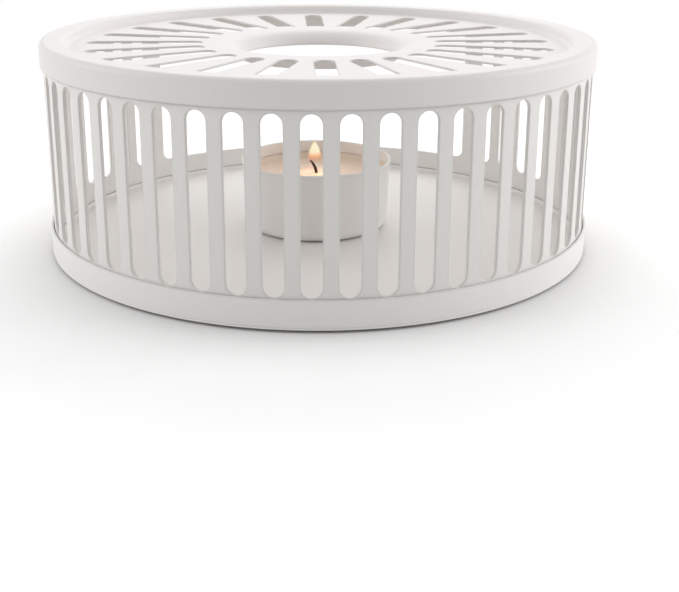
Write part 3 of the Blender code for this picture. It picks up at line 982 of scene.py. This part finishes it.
class TEAPOTWARMER_OT_wick(Operator):
    """Make the burnt wick, and finish its tin holder"""

    bl_idname = "teapot_warmer.wick"
    bl_label = "Wick and holder"

    def execute(self, context):
        settings = context.scene.teapot_warmer
        sizes, finishes = settings.tealight, settings.finishes
        pool = pool_height(sizes)
        foot = CUP_LOW.z + sizes.cup_sheet + sizes.wick_foot
        form = bmesh.new()
        steps, sunk_steps, round_steps = 40, 8, 16
        aside = Vector((0.0, 1.0, 0.0))
        rings = [[form.verts.new((CUP_MIDDLE.x, CUP_MIDDLE.y, foot))]]
        for step in range(-sunk_steps, steps + 1):
            part = max(step / steps, 0.0)
            rise = (pool - foot) * step / sunk_steps if step < 0 else sizes.wick_rise * part
            lean = -sizes.wick_lean * part**2
            slope = -2 * sizes.wick_lean * part / sizes.wick_rise
            ahead = aside.cross(Vector((slope, 0.0, 1.0)).normalized())
            centre = Vector((CUP_MIDDLE.x + lean, CUP_MIDDLE.y, pool + rise))
            thick = sizes.wick_radius * (1.0 - WICK_THINNING * part**2)
            twist = step * BRAID_TWIST
            ring = []
            for index in range(round_steps):
                angle = math.tau * index / round_steps
                braid = 1.0 + 0.06 * math.sin(2 * angle + twist) + 0.05 * math.sin(2 * angle - twist)
                away = ahead * math.cos(angle) + aside * math.sin(angle)
                ring.append(form.verts.new(centre + away * thick * braid))
            rings.append(ring)
        rings.append([form.verts.new(centre + Vector((-WICK_POINT, 0.0, WICK_POINT)))])
        for first, second in zip(rings, rings[1:]):
            join_loops(form, first, second)
        material = wick_finish("charred_wick", finishes.wick)
        new_piece("wick_braid", form, "tealight", ["tealight_wick"], material)
        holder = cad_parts["wick_holder"]
        holder.data.materials.clear()
        holder.data.materials.append(tin_finish("pressed_tin", finishes.tin, CUP_MIDDLE))
        return {"FINISHED"}


# The flame's outline, as shares of its height and of its radius
FLAME_RISES = (0.0, 0.01, 0.05, 0.12, 0.22, 0.34, 0.46, 0.58, 0.70, 0.81, 0.90, 0.96, 1.0)
FLAME_WIDTHS = (0.0, 0.45, 0.78, 0.94, 1.0, 0.97, 0.89, 0.77, 0.61, 0.44, 0.27, 0.14, 0.0)


class TEAPOTWARMER_OT_flame(Operator):
    """Make the flame and its own small light"""

    bl_idname = "teapot_warmer.flame"
    bl_label = "Flame"

    def execute(self, context):
        settings = context.scene.teapot_warmer
        sizes, finishes = settings.tealight, settings.finishes
        foot = pool_height(sizes) + sizes.flame_foot
        middle = (CUP_MIDDLE.x - sizes.flame_lean, CUP_MIDDLE.y)
        for name, grow, opacity, tone in (
            ("flame_core", 0.8, 0.9, finishes.flame_core),
            ("flame_veil", 1.0, 0.4, finishes.flame_top),
        ):
            form = bmesh.new()
            height = sizes.flame_height * grow
            width = sizes.flame_radius * grow
            base = foot + sizes.flame_height * (1 - grow) * 0.6
            shape = zip(FLAME_WIDTHS, FLAME_RISES)
            profile = [(part * width, base + rise * height) for part, rise in shape]
            turn_profile(form, profile, FLAME_STEPS, middle)
            material = flame_finish(name, tone, finishes.flame_foot, base, base + height, opacity)
            flame = new_piece(name, form, "tealight", [], material)
            round_off = flame.modifiers.new("Round", "SUBSURF")
            round_off.levels = round_off.render_levels = 2
        light = bpy.data.lights.new("flame_light", "POINT")
        light.energy = settings.studio.flame_lamp
        light.color = (1.0, 0.6, 0.3)
        light.shadow_soft_size = 1.5 * MM
        lamp = new_item("flame_light", light)
        lamp.location = (middle[0], middle[1], foot + sizes.flame_height * 0.5)
        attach(lamp, "tealight")
        return {"FINISHED"}


class TEAPOTWARMER_OT_studio(Operator):
    """Make the white floor, the soft lamps, the world and the camera"""

    bl_idname = "teapot_warmer.studio"
    bl_label = "Studio"

    def execute(self, context):
        scene = context.scene
        studio = scene.teapot_warmer.studio
        form = bmesh.new()
        bmesh.ops.create_grid(form, x_segments=8, y_segments=8, size=FLOOR_REACH)
        floor = mesh_item("floor", form, floor_finish("white_floor", studio))

        target = Vector((0.0, 0.0, 0.025))
        lamps = (
            ("back_lamp", studio.back_lamp, (0.02, 0.50, 0.48), 0.5),
            ("right_lamp", studio.right_lamp, (0.60, -0.01, 0.26), 0.4),
            ("left_lamp", studio.left_lamp, (-0.60, -0.02, 0.30), 0.4),
        )
        for name, watts, place, size in lamps:
            light = bpy.data.lights.new(name, "AREA")
            light.energy = watts
            light.size = size
            lamp = new_item(name, light)
            lamp.location = place
            lamp.rotation_euler = (target - Vector(place)).to_track_quat("-Z", "Y").to_euler()

        scene.world = room_world("white_room", studio)

        camera = bpy.data.cameras.new("photo_camera")
        camera.sensor_fit = "HORIZONTAL"
        camera.sensor_width = SENSOR_WIDTH
        camera.lens = studio.focal_length
        camera.shift_y = (studio.eye_row - PHOTO_HEIGHT / 2) / PHOTO_WIDTH
        camera.clip_start, camera.clip_end = 0.005, 20.0
        eye = new_item("photo_camera", camera)
        heading = Matrix.Rotation(-studio.heading, 4, "Z")
        tilt = Matrix.Rotation(math.pi / 2 - studio.pitch, 4, "X")
        tip = Matrix.Rotation(-studio.roll, 4, "Z")
        place = Matrix.Translation((studio.eye_right, studio.eye_back, studio.eye_up))
        eye.matrix_world = place @ heading @ tilt @ tip
        scene.camera = eye
        scene.view_settings.view_transform = "Standard"
        return {"FINISHED"}


class TEAPOTWARMER_PT_panel(Panel):
    """The steps that make the warmer, in order"""

    bl_label = "Teapot Warmer"
    bl_idname = "TEAPOTWARMER_PT_panel"
    bl_space_type = "VIEW_3D"
    bl_region_type = "UI"
    bl_category = "Teapot Warmer"

    def draw(self, context):
        for operator in OPERATORS:
            self.layout.operator(operator.bl_idname)


GROUPS = (LidSizes, WallSizes, TraySizes, PadSizes, TealightSizes, Finishes, Studio, WarmerSettings)
OPERATORS = (
    TEAPOTWARMER_OT_lid,
    TEAPOTWARMER_OT_wall,
    TEAPOTWARMER_OT_tray,
    TEAPOTWARMER_OT_pads,
    TEAPOTWARMER_OT_cup,
    TEAPOTWARMER_OT_wax,
    TEAPOTWARMER_OT_wick,
    TEAPOTWARMER_OT_flame,
    TEAPOTWARMER_OT_studio,
)


def register():
    for item in (*GROUPS, *OPERATORS, TEAPOTWARMER_PT_panel):
        register_class(item)
    bpy.types.Scene.teapot_warmer = PointerProperty(type=WarmerSettings)


def unregister():
    del bpy.types.Scene.teapot_warmer
    for item in reversed((*GROUPS, *OPERATORS, TEAPOTWARMER_PT_panel)):
        unregister_class(item)


def main():
    register()
    bpy.ops.teapot_warmer.lid()
    bpy.ops.teapot_warmer.wall()
    bpy.ops.teapot_warmer.tray()
    bpy.ops.teapot_warmer.pads()
    bpy.ops.teapot_warmer.cup()
    bpy.ops.teapot_warmer.wax()
    bpy.ops.teapot_warmer.wick()
    bpy.ops.teapot_warmer.flame()
    bpy.ops.teapot_warmer.studio()


if __name__ == "__main__":
    main()
